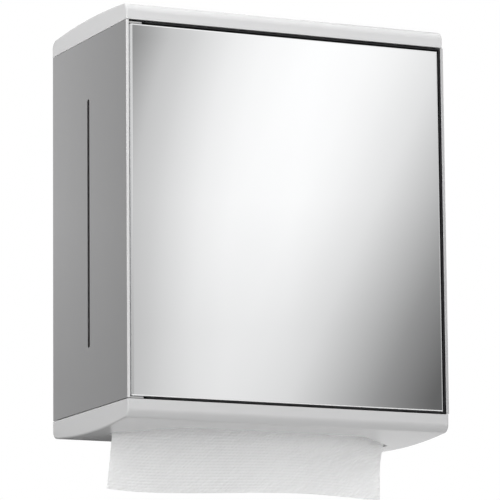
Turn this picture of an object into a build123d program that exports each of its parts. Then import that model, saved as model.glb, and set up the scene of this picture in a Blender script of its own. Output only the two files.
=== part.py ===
from build123d import *
import os

# Wall dispenser for folded paper towels: two plastic caps, two aluminium side panels with a sight
# slot, a bright door hinged on its left edge, and a tray that lets one towel hang out below.
# X runs to the right, Y into the wall and Z up. The origin is the centre of the four wall holes,
# on the wall. All lengths are in millimetres.

os.makedirs("parts", exist_ok=True)

# Clearances used all over
fit = 0.3  # between pieces that stand side by side
running_gap = 0.06  # round a pin or barrel that turns
seat_gap = 0.03  # round a shank or pin that is held fast
overrun = 1.0  # how far a cutting shape runs past what it cuts

# Towels
towel_width = 245.0
fold_depth = 108.0
stack_height = 120.0
stack_round = 1.5
sheet_wall = 1.0  # a towel and the next one's leaf
sheet_drop = 48.0  # what hangs below the bottom cap
sheet_bow = 6.0  # how far the middle stands in front of the ends
sheet_lean = 12.0  # how far back the lower edge hangs

# Screws
screw_radius = 1.7
screw_head_radius = 3.2
screw_head_height = 2.0
screw_head_round = 0.8
screw_bite = 7.0  # length held in a boss
blind_margin = 1.6  # left beyond the tip of a screw in a block
flush_head_radius = 2.9
flush_head_height = 1.2
recess_wall = 0.7  # one bar of the cross in a screw's head
recess_length_share = 0.6
recess_depth_share = 0.5

# Back plate
plate_wall = 1.5
plate_inset = 0.5  # below the end of the side panels
plate_lap = 8.0  # how far its flanges reach under the towels
rear_space = 16.5  # from the plate to the towels
wall_hole_radius = 2.75
wall_hole_inset_x = 27.5  # from the ends of the towels
wall_hole_inset_z = 37.5  # from the ends of the side panels

# Towel guides
guide_wall = 1.0
guide_gap = 1.5  # beside the towels
guide_return = 13.0
guide_headroom = 30.0
guide_screw_inset = 40.0
guide_window_margin = 20.0

# Lock in the right side panel
lock_body_radius = 8.0
lock_flange_radius = 9.5
lock_flange_wall = 1.5
lock_body_inside = 6.0
lock_nut_radius = 10.5
lock_nut_wall = 3.0
barrel_radius = 5.4
barrel_tail = 3.0
barrel_sink = 0.4  # key face below the flange
key_slot_width = 1.4
key_slot_length = 6.0
key_slot_depth = 4.0
cam_wall = 2.0
cam_width = 8.0
cam_length = 22.0
lock_to_guide = 2.0
lock_setback = 38.0  # behind the door's face
lock_level = 0.0

# Side panels
panel_height = 305.0
panel_wall = 2.5
panel_return = 15.0  # rear return that lies on the back plate
panel_inner_bend = 0.5
panel_edge_round = 0.4
slot_width = 4.5
slot_margin = 50.2
panel_screw_inset = 30.0
panel_screw_rows = 3

# Door
door_wall = 1.2
door_return = 10.0
door_inner_bend = 0.3
hinge_edge_round = 2.4  # outside, along the edge that swings past the side panel
door_gap_hinge = 0.5
door_gap_free = 2.5
door_gap_top = 3.3
door_gap_bottom = 2.2
liner_wall = 1.0
liner_setback = 0.2
block_gap = 0.1
block_length = 20.0
block_height = 22.0
block_screw_inset = 15.0

# Hinge
pivot_inset = 3.1  # from the door's hinge edge and from its face
pin_radius = 1.2
pin_reach = 14.0
pin_end_gap = 1.0
bracket_wall = 1.3
bracket_width = 12.0
bracket_gap = 0.3
bracket_round = 1.5
bracket_screw_pitch = 6.0
bracket_screw_radius = 1.2
bracket_head_radius = 2.2
bracket_head_height = 1.0
bracket_screw_bite = 6.0

# Inner frame behind the door
frame_bar = 7.0
frame_rail = 11.0
frame_depth = 12.0
frame_gap = 1.5
frame_corner = 4.0
frame_lip_wall = 0.9
frame_lip_setback = 1.5
frame_lip_margin = 2.0
load_space = 10.5  # from the frame to the towels, where the frame's shelves lie
shelf_margin = 12.0
bumper_radius = 2.2
bumper_inset = 25.0

# Keeper on the door, which the lock's cam catches
keeper_wall = 3.6
keeper_base_wall = 1.6
keeper_base_width = 12.0
keeper_base_height = 26.0
keeper_hook_wall = 4.0
keeper_gap = 0.6
keeper_tip_gap = 2.0
keeper_arm_height = 9.4
keeper_bite = 9.0
keeper_screw_pitch = 16.0
notch_margin = 4.0
latch_block_length = 20.0
latch_block_height = 34.0

# Caps
cap_wall = 2.5
cap_reveal = 0.4  # each end stands in from the side panels
cap_seam = 0.6  # gap between the panels and the caps
cap_corner = 7.0
cap_end_round = 1.5
top_edge_height = 13.3
top_crown_height = 16.7
bottom_edge_height = 14.0
bottom_crown_height = 18.2
tongue_wall = 2.0
tongue_drop = 8.0
tongue_root = 4.0
tongue_margin = 4.0
boss_radius = 4.0
cap_screw_inset = 12.5  # from the ends of the towels

# Tray and exit
tray_wall = 1.5
exit_play = 1.5  # longer than the towels are wide
exit_end_width = 11.0
exit_mid_width = 92.0
exit_taper = 43.0  # length of each slanted end
tray_end_width = 14.0
tray_mid_width = 58.0
tray_taper = 40.0
slot_end_round = 5.0
slot_mid_round = 20.0
exit_lip_round = 0.8
chute_wall = 2.0

# Overall width, built up from the towels outwards
lock_reach = lock_body_inside + barrel_tail + cam_wall + screw_head_height
guide_inside = towel_width / 2 + guide_gap
guide_outside = guide_inside + guide_wall
inner_half = guide_outside + lock_to_guide + lock_reach
half_width = inner_half + panel_wall

# Overall depth, built up from the wall forwards
stack_rear = -(plate_wall + rear_space)
stack_front = stack_rear - fold_depth
frame_rear = stack_front - load_space
frame_front = frame_rear - frame_depth
door_rear = frame_front - frame_gap
door_front = door_rear - door_return
cap_rear = -plate_wall

# Heights
half_height = panel_height / 2
rim_level = half_height + cap_seam
plate_top = half_height - plate_inset
seat_level = plate_top - plate_wall
tray_top = -seat_level + tray_wall
stack_bottom = tray_top + fit
door_top = rim_level - door_gap_top
door_bottom = -rim_level + door_gap_bottom
door_left = -inner_half + door_gap_hinge
door_right = inner_half - door_gap_free
flange_reach = plate_wall + rear_space + plate_lap
flange_half = half_width - panel_return - fit
frame_half = inner_half - fit
door_inset = door_wall + door_inner_bend + block_gap
liner_rear = door_rear - liner_setback
liner_front = liner_rear - liner_wall
block_tip = door_front + door_wall + blind_margin

# Screw places
cap_screw_x = towel_width / 2 - cap_screw_inset
front_screw_y = (frame_rear + stack_front) / 2
rear_screw_y = -(plate_wall + rear_space / 2)
cap_screw_places = [(side * cap_screw_x, y) for side in (-1, 1) for y in (front_screw_y, rear_screw_y)]
screw_hole_radius = screw_radius + seat_gap
bracket_screw_hole_radius = bracket_screw_radius + seat_gap

# Hinge axis and brackets
pivot_x = door_left + pivot_inset
pivot_y = door_front + pivot_inset
upper_bracket = (door_top + bracket_gap, door_top + bracket_gap + bracket_wall)
lower_bracket = (door_bottom - bracket_gap - bracket_wall, door_bottom - bracket_gap)

# Lock axis, and the two ends of its barrel
lock_y = door_front + lock_setback
barrel_inner = inner_half - lock_body_inside - barrel_tail
lock_face = half_width + lock_flange_wall
barrel_outer = lock_face - barrel_sink
cam_screw_bite = (barrel_outer - barrel_inner - key_slot_depth) / 2

# Exit
exit_middle = (door_front + cap_rear) / 2
exit_half = (towel_width + exit_play) / 2
exit_front = exit_middle - exit_mid_width / 2


def block(x, y, z):
    """Box between two corners, each span given as (low, high)."""
    spans = (x, y, z)
    middle = [(low + high) / 2 for low, high in spans]
    size = [high - low for low, high in spans]
    return Pos(*middle) * Box(*size)


def rod(radius, start, end):
    """Round bar from one point to another."""
    way = Vector(*end) - Vector(*start)
    bar = Cylinder(radius, way.length, align=(Align.CENTER, Align.CENTER, Align.MIN))
    return Plane(origin=start, z_dir=way) * bar


def both_ways(middle, half):
    """Span that reaches as far each way from a middle."""
    return (middle - half, middle + half)


def save(node, shape):
    export_step(shape, f"parts/{node}.step")


def cross(radius, height):
    """Cross recess that sinks into a screw head from its outer face at -height."""
    length = 2 * radius * recess_length_share
    deep = height * recess_depth_share
    span = (-height - overrun, -height + deep)
    long_bar = block(both_ways(0, length / 2), both_ways(0, recess_wall / 2), span)
    return long_bar + Rot(0, 0, 90) * long_bar


def screw(seat, way, length):
    """Pan-head screw: the head stands on its seat and the shank runs the given way."""
    head = rod(screw_head_radius, (0, 0, -screw_head_height), (0, 0, 0))
    head = fillet(head.edges().sort_by(Axis.Z)[:1], screw_head_round)
    shank = rod(screw_radius, (0, 0, 0), (0, 0, length))
    shape = head + shank - cross(screw_head_radius, screw_head_height)
    return Plane(origin=seat, z_dir=way) * shape


def flush_sink(seat, way, wide, height, narrow):
    """Cone that a flush screw head fills below its seat."""
    cone = Cone(wide, narrow, height, align=(Align.CENTER, Align.CENTER, Align.MIN))
    return Plane(origin=seat, z_dir=way) * cone


def flush_screw(seat, way, length, head=flush_head_radius, height=flush_head_height, shank=screw_radius):
    """Countersunk screw whose head lies level with its seat."""
    cone = flush_sink((0, 0, 0), (0, 0, 1), head, height, shank)
    bar = rod(shank, (0, 0, 0), (0, 0, length))
    shape = cone + bar - Pos(0, 0, height) * cross(head, height)
    return Plane(origin=seat, z_dir=way) * shape


def flush_hole(seat, way, length, head=flush_head_radius, height=flush_head_height, shank=screw_radius):
    """Room for a countersunk screw."""
    cone = flush_sink((0, 0, 0), (0, 0, 1), head + seat_gap, height + seat_gap, shank + seat_gap)
    bar = rod(shank + seat_gap, (0, 0, 0), (0, 0, length))
    return Plane(origin=seat, z_dir=way) * (cone + bar)


def group(shapes):
    """Separate solids in one node."""
    return Compound([shape.solid() for shape in shapes])


def slot_face(end_width, mid_width, taper, margin):
    """Plan of an opening for the towels: narrow at both ends and wide in the middle, for the fingers."""
    end = end_width / 2 + margin
    mid = mid_width / 2 + margin
    far = exit_half + margin
    near = exit_half - taper
    right = [(near, -mid), (far, -end), (far, end), (near, mid)]
    left = [(-x, y) for x, y in reversed(right)]
    face = make_face(Polyline(*right, *left, close=True))
    ends = [v for v in face.vertices() if abs(v.X) > (far + near) / 2]
    face = fillet(ends, slot_end_round)
    corners = [v for v in face.vertices() if abs(abs(v.Y) - mid) < fit]
    return Pos(0, exit_middle) * fillet(corners, slot_mid_round)


def exit_prism(margin, low, high):
    """The exit's plan carried up from one level to another."""
    face = slot_face(exit_end_width, exit_mid_width, exit_taper, margin)
    return Pos(0, 0, low) * extrude(face, amount=high - low)


def cap_face(inset, edge, crown):
    """Side view of a cap above its rim: two uprights, round corners and a shallow arch."""
    front = door_front + inset
    rear = cap_rear - inset
    top = edge - inset
    arch = ThreePointArc((front, top), ((front + rear) / 2, crown - inset), (rear, top))
    rest = Polyline((rear, top), (rear, 0), (front, 0), (front, top))
    face = make_face(arch.edges() + rest.edges())
    corners = face.vertices().sort_by(Axis.Y)[-2:]
    return Plane.YZ * fillet(corners, cap_corner - inset)


def arch_height(y, edge, crown):
    """Height of a cap's outer arch above its rim, at a place along the depth."""
    half_span = (cap_rear - door_front) / 2
    rise = crown - edge
    radius = (half_span**2 + rise**2) / (2 * rise)
    offset = y - (cap_rear + door_front) / 2
    return crown - radius + (radius**2 - offset**2) ** 0.5


def cap_shell(edge, crown):
    """Hollow cap, open at its rim, with a tongue inside each side panel and four screw bosses."""
    cap_half = half_width - cap_reveal
    shell = extrude(cap_face(0, edge, crown), amount=cap_half, both=True)
    end_faces = shell.faces().sort_by(Axis.X)
    end_edges = end_faces[0].edges() + end_faces[-1].edges()
    shell = fillet([e for e in end_edges if e.center().Z > cap_end_round], cap_end_round)
    shell -= extrude(cap_face(cap_wall, edge, crown), amount=cap_half - cap_wall, both=True)
    tongue_out = cap_half - cap_wall
    tongue_y = (stack_front + tongue_margin, -flange_reach - tongue_margin)
    for side in (-1, 1):
        tongue_x = sorted((side * tongue_out, side * (tongue_out - tongue_wall)))
        shell += block(tongue_x, tongue_y, (-tongue_drop, tongue_root))
    foot = plate_top - rim_level
    for x, y in cap_screw_places:
        head = arch_height(y, edge, crown) - cap_wall / 2
        shell += rod(boss_radius, (x, y, foot), (x, y, head))
        shell -= rod(screw_hole_radius, (x, y, foot - overrun), (x, y, foot + screw_bite + fit))
    return shell


def top_cap():
    return Pos(0, 0, rim_level) * cap_shell(top_edge_height, top_crown_height)


def bottom_cap():
    """Same build upside down, with the exit and a chute that rises from it to the frame's shelf."""
    edge, crown = bottom_edge_height, bottom_crown_height
    shell = cap_shell(edge, crown)
    chute_foot = plate_top + fit - rim_level
    chute_head = (arch_height(exit_front - chute_wall, edge, crown) + crown - cap_wall) / 2
    shell += exit_prism(chute_wall, chute_foot, chute_head)
    shell -= exit_prism(0, chute_foot - overrun, crown + overrun)
    lip = []
    for e in shell.edges():
        spot = e.center()
        inside = abs(spot.X) < exit_half + fit and abs(spot.Y - exit_middle) < exit_mid_width / 2 + fit
        if inside and spot.Z > chute_head:
            lip.append(e)
    shell = fillet(lip, exit_lip_round)
    return Pos(0, 0, -rim_level) * mirror(shell, about=Plane.XY)


def back_plate():
    """Sheet plate on the wall, with a flange bent forward at its top and at its foot."""
    web_half = inner_half - fit
    plate = block(both_ways(0, web_half), (-plate_wall, 0), both_ways(0, plate_top))
    for low, high in ((seat_level, plate_top), (-plate_top, -seat_level)):
        plate += block(both_ways(0, flange_half), (-flange_reach, 0), (low, high))
    for x, y, z in wall_hole_places():
        plate -= rod(wall_hole_radius, (x, -plate_wall - overrun, z), (x, overrun, z))
    for x, z in panel_screw_places() + guide_screw_places():
        plate -= rod(screw_hole_radius, (x, -plate_wall - overrun, z), (x, overrun, z))
    for side in (-1, 1):
        x = side * cap_screw_x
        low = (x, rear_screw_y, -plate_top - overrun)
        plate -= rod(screw_hole_radius, low, (x, rear_screw_y, plate_top + overrun))
    return plate


def wall_hole_places():
    x = towel_width / 2 - wall_hole_inset_x
    z = half_height - wall_hole_inset_z
    return [(side * x, 0, level * z) for side in (-1, 1) for level in (-1, 1)]


def panel_screw_places():
    """Screws through the panels' rear returns, in one row on each side."""
    x = inner_half - (panel_return - panel_wall) / 2
    reach = half_height - panel_screw_inset
    step = 2 * reach / (panel_screw_rows - 1)
    levels = [-reach + row * step for row in range(panel_screw_rows)]
    return [(side * x, z) for side in (-1, 1) for z in levels]


def guide_screw_places():
    x = guide_outside - guide_return / 2
    low = stack_bottom + guide_screw_inset
    high = seat_level - guide_headroom - guide_screw_inset
    return [(side * x, z) for side in (-1, 1) for z in (low, high)]


def side_panel():
    """Left side panel: one sheet, bent round at the wall, with the sight slot in its middle."""
    rear = -plate_wall
    outline = [
        (-half_width, door_front),
        (-half_width, rear),
        (-half_width + panel_return, rear),
        (-half_width + panel_return, rear - panel_wall),
        (-inner_half, rear - panel_wall),
        (-inner_half, door_front),
    ]
    face = make_face(Polyline(*outline, close=True))
    bend_out = [v for v in face.vertices() if abs(v.X + half_width) < fit and v.Y > rear - fit]
    face = fillet(bend_out, panel_wall + panel_inner_bend)
    bend_in = [v for v in face.vertices() if abs(v.X + inner_half) < fit and v.Y > door_front + fit]
    face = fillet(bend_in, panel_inner_bend)
    front = [v for v in face.vertices() if v.Y < door_front + fit]
    face = fillet(front, panel_edge_round)
    panel = extrude(face, amount=half_height, both=True)
    slot_half = half_height - slot_margin
    slot_y = exit_middle
    slot_x = (-half_width - overrun, -inner_half + overrun)
    straight = slot_half - slot_width / 2
    panel -= block(slot_x, both_ways(slot_y, slot_width / 2), both_ways(0, straight))
    for z in (-straight, straight):
        panel -= rod(slot_width / 2, (slot_x[0], slot_y, z), (slot_x[1], slot_y, z))
    for x, z in panel_screw_places():
        panel -= rod(screw_hole_radius, (x, rear - panel_wall - overrun, z), (x, rear + overrun, z))
    return panel


def lock_rod(radius, low, high):
    """Round bar on the lock's axis between two places across the width."""
    return rod(radius, (low, lock_y, lock_level), (high, lock_y, lock_level))


def right_side_panel():
    """Mirror of the left side panel, with the hole for the lock."""
    hole = lock_rod(lock_body_radius + seat_gap, inner_half - overrun, half_width + overrun)
    return mirror(side_panel(), about=Plane.YZ) - hole


def keeper_spans():
    """Where the keeper's arm and hook lie, from the lock's cam at its locked place."""
    x = both_ways(barrel_inner - cam_wall / 2, keeper_wall / 2)
    tip = lock_level - cam_length
    arm_top = tip - keeper_tip_gap
    arm_z = (arm_top - keeper_arm_height, arm_top)
    hook_front = lock_y + cam_width / 2 + keeper_gap
    hook_y = (hook_front, hook_front + keeper_hook_wall)
    hook_z = (arm_z[0], tip + keeper_bite)
    return x, arm_z, hook_y, hook_z


def keeper_swing():
    """How far the hook's rear corner swings out to the right as the door opens."""
    x, arm_z, hook_y, hook_z = keeper_spans()
    across = x[1] - pivot_x
    behind = hook_y[1] - pivot_y
    return (across**2 + behind**2) ** 0.5 - across


def front_frame():
    """Moulded ring behind the door, with lips beside the door's edges and two shelves."""
    opening_half = frame_half - frame_bar
    opening_top = plate_top - frame_rail
    frame_y = (frame_front, frame_rear)
    cut_y = (frame_front - overrun, frame_rear + overrun)
    opening = block(both_ways(0, opening_half), cut_y, both_ways(0, opening_top))
    opening = fillet(opening.edges().filter_by(Axis.Y), frame_corner)
    frame = block(both_ways(0, frame_half), frame_y, both_ways(0, plate_top)) - opening
    lip_y = (door_front + frame_lip_setback, frame_front)
    lip_x = (door_left + bracket_width + frame_lip_margin, frame_half)
    frame += block((frame_half - frame_lip_wall, frame_half), lip_y, both_ways(0, plate_top))
    shelf_half = cap_screw_x + shelf_margin
    for side in (-1, 1):
        lip_z = sorted((side * plate_top, side * (plate_top - frame_lip_wall)))
        frame += block(lip_x, lip_y, lip_z)
        shelf_z = sorted((side * plate_top, side * seat_level))
        frame += block(both_ways(0, shelf_half), (frame_rear, stack_front), shelf_z)
    x, arm_z, hook_y, hook_z = keeper_spans()
    notch_x = (opening_half - overrun, x[1] + keeper_swing() + fit)
    notch_z = (hook_z[0] - notch_margin, hook_z[1] + notch_margin)
    frame -= block(notch_x, cut_y, notch_z)
    recess_x = (-frame_half - overrun, door_left + bracket_width + frame_lip_margin)
    frame -= block(recess_x, cut_y, (door_top + bracket_gap, plate_top + overrun))
    frame -= block(recess_x, cut_y, (-plate_top - overrun, door_bottom - bracket_gap))
    for side in (-1, 1):
        low = (side * cap_screw_x, front_screw_y, -plate_top - overrun)
        frame -= rod(screw_hole_radius, low, (side * cap_screw_x, front_screw_y, plate_top + overrun))
    for seat, way in bracket_screw_seats():
        frame -= Plane(origin=seat, z_dir=way) * rod(
            bracket_screw_hole_radius, (0, 0, 0), (0, 0, bracket_wall + bracket_screw_bite + fit)
        )
    return frame


def bracket_screw_seats():
    """Seats of the hinge bracket screws: two on top, two below."""
    x = door_left + bracket_width / 2
    middle = (frame_front + frame_rear) / 2
    seats = []
    for level, way in ((upper_bracket[1], -1), (lower_bracket[0], 1)):
        for side in (-1, 1):
            seats.append(((x, middle + side * bracket_screw_pitch / 2, level), (0, 0, way)))
    return seats


def hinge_bracket(low, high):
    """Flat steel plate on the frame that reaches out over the door's corner and holds the pin."""
    bracket_x = (door_left, door_left + bracket_width)
    bracket_y = (door_front + frame_lip_setback, frame_rear)
    plate = block(bracket_x, bracket_y, (low, high))
    plate = fillet(plate.edges().filter_by(Axis.Z), bracket_round)
    plate -= rod(pin_radius + seat_gap, (pivot_x, pivot_y, low - overrun), (pivot_x, pivot_y, high + overrun))
    for seat, way in bracket_screw_seats():
        plate -= flush_hole(
            seat, way, bracket_wall + overrun, bracket_head_radius, bracket_head_height, bracket_screw_radius
        )
    return plate


def hinge_pin(outer, inner):
    return rod(pin_radius, (pivot_x, pivot_y, outer), (pivot_x, pivot_y, inner))


def corner_block_span(left):
    """X span of a block inside the door, at its hinge edge or at its free edge."""
    if left:
        low = door_left + door_wall + block_gap
    else:
        low = door_right - door_inset - block_length
    return (low, low + block_length)


def block_levels():
    """Z spans of the blocks at the top and at the foot of the door."""
    high = door_top - door_inset
    low = door_bottom + door_inset
    return (high - block_height, high), (low, low + block_height)


def liner_screw_seats():
    """One screw into each of the four corner blocks, from the back of the door."""
    high, low = block_levels()
    levels = (high[1] - block_screw_inset, low[0] + block_screw_inset)
    x_places = [sum(corner_block_span(left)) / 2 for left in (True, False)]
    return [(x, liner_rear, z) for x in x_places for z in levels]


def block_depth():
    return (door_front + door_wall, liner_front)


def drilled_for_liner(shape):
    for seat in liner_screw_seats():
        shape -= flush_hole(seat, (0, -1, 0), liner_rear - block_tip + fit)
    return shape


def hinge_block(z, outer):
    """Bearing block that nests in the bend of the door, bored for the hinge pin from its outer end."""
    bearing = block(corner_block_span(True), block_depth(), z)
    uprights = bearing.edges().filter_by(Axis.Z).sort_by(Axis.X)[:2]
    bearing = fillet(uprights.sort_by(Axis.Y)[0], hinge_edge_round - door_wall)
    inward = 1 if outer == z[0] else -1
    bore_end = outer + inward * (pin_reach + pin_end_gap)
    bore_start = outer - inward * overrun
    bearing -= rod(pin_radius + running_gap, (pivot_x, pivot_y, bore_start), (pivot_x, pivot_y, bore_end))
    return drilled_for_liner(bearing)


def corner_blocks():
    """Spacers in the two free corners of the door."""
    spacers = [block(corner_block_span(False), block_depth(), z) for z in block_levels()]
    return group([drilled_for_liner(spacer) for spacer in spacers])


def bent_edges(shape, hinge_round, other_round):
    """Round the front edges of a door shaped block, with a larger round along the hinge edge."""
    upright = shape.faces().sort_by(Axis.Y)[0].edges().sort_by(Axis.X)[0]
    shape = fillet(upright, hinge_round)
    front = shape.faces().sort_by(Axis.Y)[0]
    return fillet(front.edges().sort_by(Axis.X)[1:], other_round)


def door_panel():
    """Bright sheet door with a return bent back along each of its four edges."""
    door_y = (door_front, door_rear)
    door = block((door_left, door_right), door_y, (door_bottom, door_top))
    door = bent_edges(door, hinge_edge_round, door_wall + door_inner_bend)
    pan = block(
        (door_left + door_wall, door_right - door_wall),
        (door_front + door_wall, door_rear + overrun),
        (door_bottom + door_wall, door_top - door_wall),
    )
    door -= bent_edges(pan, hinge_edge_round - door_wall, door_inner_bend)
    hole = rod(
        pin_radius + fit, (pivot_x, pivot_y, door_bottom - overrun), (pivot_x, pivot_y, door_top + overrun)
    )
    return door - hole


def door_liner():
    """Flat inner sheet that closes the back of the door."""
    liner = block(
        (door_left + door_inset, door_right - door_inset),
        (liner_front, liner_rear),
        (door_bottom + door_inset, door_top - door_inset),
    )
    for seat in liner_screw_seats():
        liner -= flush_hole(seat, (0, -1, 0), liner_wall + overrun)
    for x, y, z in keeper_screw_seats():
        liner -= rod(screw_hole_radius, (x, y, z), (x, liner_front - overrun, z))
    return liner


def keeper_base_span():
    """X and Z spans of the plate that fastens the keeper to the door."""
    x, arm_z, hook_y, hook_z = keeper_spans()
    middle = sum(arm_z) / 2
    return (x[1] - keeper_base_width, x[1]), both_ways(middle, keeper_base_height / 2)


def keeper_screw_seats():
    base_x, base_z = keeper_base_span()
    arm_x = keeper_spans()[0]
    x = (base_x[0] + arm_x[0]) / 2
    y = liner_rear + keeper_base_wall
    return [(x, y, sum(base_z) / 2 + side * keeper_screw_pitch / 2) for side in (-1, 1)]


def door_keeper():
    """Hook on the back of the door: the lock's cam turns down in front of its upright end."""
    x, arm_z, hook_y, hook_z = keeper_spans()
    base_x, base_z = keeper_base_span()
    base_y = (liner_rear, liner_rear + keeper_base_wall)
    keeper = block(base_x, base_y, base_z)
    keeper += block(x, (base_y[0], hook_y[1]), arm_z)
    keeper += block(x, hook_y, hook_z)
    for seat in keeper_screw_seats():
        keeper -= flush_hole(seat, (0, -1, 0), keeper_base_wall + overrun)
    return keeper


def latch_block():
    """Spacer inside the door that takes the keeper's screws."""
    base_x, base_z = keeper_base_span()
    right = door_right - door_inset
    spacer_z = both_ways(sum(base_z) / 2, latch_block_height / 2)
    spacer = block((right - latch_block_length, right), block_depth(), spacer_z)
    for x, y, z in keeper_screw_seats():
        spacer -= rod(screw_hole_radius, (x, y, z), (x, block_tip - fit, z))
    return spacer


def lock_body():
    """Flanged sleeve through the right side panel."""
    inside = inner_half - lock_body_inside
    body = lock_rod(lock_body_radius, inside, half_width)
    body += lock_rod(lock_flange_radius, half_width, lock_face)
    return body - lock_rod(barrel_radius + running_gap, inside - overrun, lock_face + overrun)


def lock_nut():
    """Six-sided nut that holds the lock from inside the panel."""
    low = inner_half - lock_nut_wall
    face = Plane(origin=(low, lock_y, lock_level), z_dir=(1, 0, 0)) * RegularPolygon(lock_nut_radius, 6)
    bore = lock_rod(lock_body_radius + seat_gap, low - overrun, inner_half + overrun)
    return extrude(face, amount=lock_nut_wall) - bore


def lock_barrel():
    """Turning barrel with a slot for the key in its outer face."""
    barrel = lock_rod(barrel_radius, barrel_inner, barrel_outer)
    barrel -= block(
        (barrel_outer - key_slot_depth, barrel_outer + overrun),
        both_ways(lock_y, key_slot_width / 2),
        both_ways(lock_level, key_slot_length / 2),
    )
    screw_end = barrel_inner + cam_screw_bite + fit
    return barrel - lock_rod(screw_hole_radius, barrel_inner - overrun, screw_end)


def lock_cam():
    """Finger on the barrel's inner end, which points at the door when the lock is open."""
    low, high = barrel_inner - cam_wall, barrel_inner
    tip = lock_y - cam_length + cam_width / 2
    finger = block((low, high), (tip, lock_y), both_ways(lock_level, cam_width / 2))
    finger += rod(cam_width / 2, (low, tip, lock_level), (high, tip, lock_level))
    finger += lock_rod(cam_width / 2, low, high)
    return finger - lock_rod(screw_hole_radius, low - overrun, high + overrun)


def cam_screw():
    seat = (barrel_inner - cam_wall, lock_y, lock_level)
    return screw(seat, (1, 0, 0), cam_wall + cam_screw_bite)


def door_bumpers():
    """Two rubber pads on the frame that the door closes against."""
    x = (frame_half - frame_bar + frame_half - frame_lip_wall) / 2
    pads = []
    for z in (door_top - bumper_inset, door_bottom + bumper_inset):
        pads.append(rod(bumper_radius, (x, frame_front, z), (x, door_rear + fit, z)))
    return group(pads)


def towel_tray():
    """Plate that carries the towels, with a narrower opening over the chute."""
    tray_half = half_width - cap_reveal - cap_wall - tongue_wall - fit
    tray_y = (frame_rear + fit, -(plate_wall + panel_wall + fit))
    tray = block(both_ways(0, tray_half), tray_y, (-seat_level, tray_top))
    slot = extrude(slot_face(tray_end_width, tray_mid_width, tray_taper, 0), amount=tray_wall + 2 * overrun)
    tray -= Pos(0, 0, -seat_level - overrun) * slot
    for x, y in cap_screw_places:
        tray -= rod(screw_hole_radius, (x, y, -seat_level - overrun), (x, y, tray_top + overrun))
    return tray


def towel_guide(side):
    """Upright sheet beside the towels, bent inwards at the wall, with a window behind the slot."""
    z = (tray_top + fit, seat_level - guide_headroom)
    sheet_x = sorted((side * guide_inside, side * guide_outside))
    return_x = sorted((side * guide_outside, side * (guide_outside - guide_return)))
    rear = -plate_wall
    guide = block(sheet_x, (stack_front, rear), z)
    guide += block(return_x, (rear - guide_wall, rear), z)
    window_half = half_height - slot_margin
    window_z = (-window_half, z[1] - guide_window_margin)
    window_x = (sheet_x[0] - overrun, sheet_x[1] + overrun)
    guide -= block(window_x, both_ways(exit_middle, slot_width), window_z)
    for x, level in guide_screw_places():
        guide -= rod(screw_hole_radius, (x, rear - guide_wall - overrun, level), (x, rear + overrun, level))
    return guide


def towel_stack():
    """Pack of folded towels on the tray."""
    half = towel_width / 2
    stack = block((-half, half), (stack_front, stack_rear), (stack_bottom, stack_bottom + stack_height))
    return fillet(stack.edges(), stack_round)


def sheet_face(front, level):
    """Plan of the hanging towel at a level: its two long sides bow forward alike."""
    half = towel_width / 2
    rear = front + sheet_wall
    near = ThreePointArc((-half, front), (0, front - sheet_bow), (half, front))
    far = ThreePointArc((half, rear), (0, rear - sheet_bow), (-half, rear))
    right = Line((half, front), (half, rear))
    left = Line((-half, rear), (-half, front))
    face = make_face(near.edges() + right.edges() + far.edges() + left.edges())
    return Pos(0, 0, level) * face


def hanging_towel():
    """First towel's leaf: straight down from the pack through the exit, then leaning back."""
    front = exit_middle - sheet_wall / 2
    mouth = -rim_level - bottom_crown_height
    upper = extrude(sheet_face(front, mouth), amount=stack_bottom - fit - mouth)
    lower_edge = sheet_face(front + sheet_lean, mouth - sheet_drop)
    return upper + loft([lower_edge, sheet_face(front, mouth)], ruled=True)


def cap_screws(seat, way, length):
    return group([screw((x, y, seat), (0, 0, way), length) for x, y in cap_screw_places])


def wall_side_screws(places, lap):
    """Screws through a rear return into the back plate, short of the wall."""
    seat = -plate_wall - lap
    return group([screw((x, seat, z), (0, 1, 0), lap + plate_wall - fit) for x, z in places])


def bracket_screws():
    length = bracket_wall + bracket_screw_bite
    sizes = (bracket_head_radius, bracket_head_height, bracket_screw_radius)
    return group([flush_screw(seat, way, length, *sizes) for seat, way in bracket_screw_seats()])


def door_screws(seats):
    """Flush screws from the back of the door into its blocks."""
    return group([flush_screw(seat, (0, -1, 0), seat[1] - block_tip) for seat in seats])


high_block, low_block = block_levels()

# Casing
save("back_plate", back_plate())
save("left_side_panel", side_panel())
save("right_side_panel", right_side_panel())
save("top_cap", top_cap())
save("bottom_cap", bottom_cap())
save("front_frame", front_frame())
save("towel_tray", towel_tray())
save("left_towel_guide", towel_guide(-1))
save("right_towel_guide", towel_guide(1))
save("door_bumpers", door_bumpers())

# Casing screws
save("side_panel_screws", wall_side_screws(panel_screw_places(), panel_wall))
save("guide_screws", wall_side_screws(guide_screw_places(), guide_wall))
save("top_cap_screws", cap_screws(seat_level, 1, plate_wall + screw_bite))
save("bottom_cap_screws", cap_screws(tray_top, -1, tray_wall + plate_wall + screw_bite))

# Hinge on the casing
save("upper_hinge_bracket", hinge_bracket(*upper_bracket))
save("lower_hinge_bracket", hinge_bracket(*lower_bracket))
save("upper_hinge_pin", hinge_pin(upper_bracket[1], high_block[1] - pin_reach))
save("lower_hinge_pin", hinge_pin(lower_bracket[0], low_block[0] + pin_reach))
save("hinge_bracket_screws", bracket_screws())

# Lock
save("lock_body", lock_body())
save("lock_nut", lock_nut())
save("lock_barrel", lock_barrel())
save("lock_cam", lock_cam())
save("cam_screw", cam_screw())

# Door
save("door_panel", door_panel())
save("door_liner", door_liner())
save("upper_hinge_block", hinge_block(high_block, high_block[1]))
save("lower_hinge_block", hinge_block(low_block, low_block[0]))
save("door_corner_blocks", corner_blocks())
save("latch_block", latch_block())
save("door_keeper", door_keeper())
save("liner_screws", door_screws(liner_screw_seats()))
save("keeper_screws", door_screws(keeper_screw_seats()))

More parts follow.
